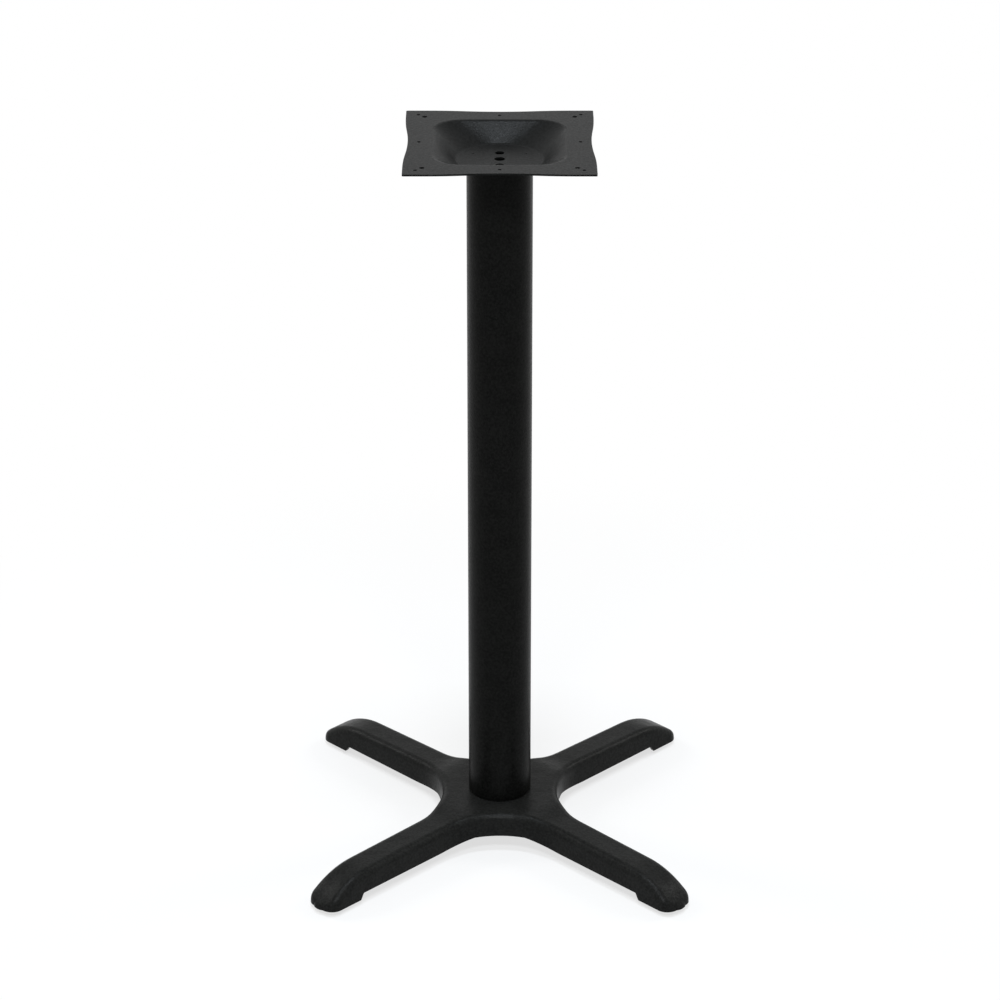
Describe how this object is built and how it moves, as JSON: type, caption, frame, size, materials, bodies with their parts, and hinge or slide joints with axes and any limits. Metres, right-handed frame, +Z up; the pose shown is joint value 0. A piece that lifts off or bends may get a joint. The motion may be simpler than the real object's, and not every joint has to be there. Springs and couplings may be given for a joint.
{
  "type": "four star table base",
  "caption": "Bar-height table base: cast four-leg cross base on levelling glides, round tube column and a square pressed top plate with a dished pan and screw holes.",
  "frame": {"origin": "on the floor under the column's axis", "axes": "+Z up along the column; the top plate's sides lie along X and Y and the four legs along their diagonals; the picture looks along +Y"},
  "size_m": [0.5266, 0.5266, 1.041],
  "materials": {
    "cast_base": "fine textured black powder coat",
    "coated_steel": "fine textured black powder coat",
    "weld": "rippled weld bead under black powder coat",
    "inner_weld": "bare rippled weld bead",
    "bare_steel": "sawn and drilled steel, bare",
    "zinc": "bright zinc plate",
    "glide_nylon": "moulded black nylon"
  },
  "bodies": {
    "base": {"cross_base": "cast_base", "column_tube": "coated_steel", "column_foot_disc": "bare_steel", "foot_disc_weld": "inner_weld", "top_plate": "coated_steel", "plate_weld": "weld", "hub_bolts": "zinc", "hub_washers": "zinc", "hub_spring_washers": "zinc"},
    "glide_pad_1": {"glide_pad_1": "glide_nylon"},
    "glide_stud_1": {"glide_stud_1": "zinc"},
    "glide_pad_2": {"glide_pad_2": "glide_nylon"},
    "glide_stud_2": {"glide_stud_2": "zinc"},
    "glide_pad_3": {"glide_pad_3": "glide_nylon"},
    "glide_stud_3": {"glide_stud_3": "zinc"},
    "glide_pad_4": {"glide_pad_4": "glide_nylon"},
    "glide_stud_4": {"glide_stud_4": "zinc"}
  },
  "joints": [
    {"name": "glide_travel_1", "type": "slide", "parent": "base", "child": "glide_pad_1", "axis": [0, 0, -1], "range_m": [0, 0.006]},
    {"name": "glide_screw_1", "type": "hinge", "parent": "glide_pad_1", "child": "glide_stud_1", "pos_m": [0.23688, 0.23688, 0.011], "axis": [0, 0, -1], "range_deg": [0, 1728]},
    {"name": "glide_travel_2", "type": "slide", "parent": "base", "child": "glide_pad_2", "axis": [0, 0, -1], "range_m": [0, 0.006]},
    {"name": "glide_screw_2", "type": "hinge", "parent": "glide_pad_2", "child": "glide_stud_2", "pos_m": [-0.23688, 0.23688, 0.011], "axis": [0, 0, -1], "range_deg": [0, 1728]},
    {"name": "glide_travel_3", "type": "slide", "parent": "base", "child": "glide_pad_3", "axis": [0, 0, -1], "range_m": [0, 0.006]},
    {"name": "glide_screw_3", "type": "hinge", "parent": "glide_pad_3", "child": "glide_stud_3", "pos_m": [-0.23688, -0.23688, 0.011], "axis": [0, 0, -1], "range_deg": [0, 1728]},
    {"name": "glide_travel_4", "type": "slide", "parent": "base", "child": "glide_pad_4", "axis": [0, 0, -1], "range_m": [0, 0.006]},
    {"name": "glide_screw_4", "type": "hinge", "parent": "glide_pad_4", "child": "glide_stud_4", "pos_m": [0.23688, -0.23688, 0.011], "axis": [0, 0, -1], "range_deg": [0, 1728]}
  ],
  "couplings": [
    {"joint": "glide_screw_1", "follows": "glide_travel_1", "rad_per_m": 5026.5},
    {"joint": "glide_screw_2", "follows": "glide_travel_2", "rad_per_m": 5026.5},
    {"joint": "glide_screw_3", "follows": "glide_travel_3", "rad_per_m": 5026.5},
    {"joint": "glide_screw_4", "follows": "glide_travel_4", "rad_per_m": 5026.5}
  ]
}
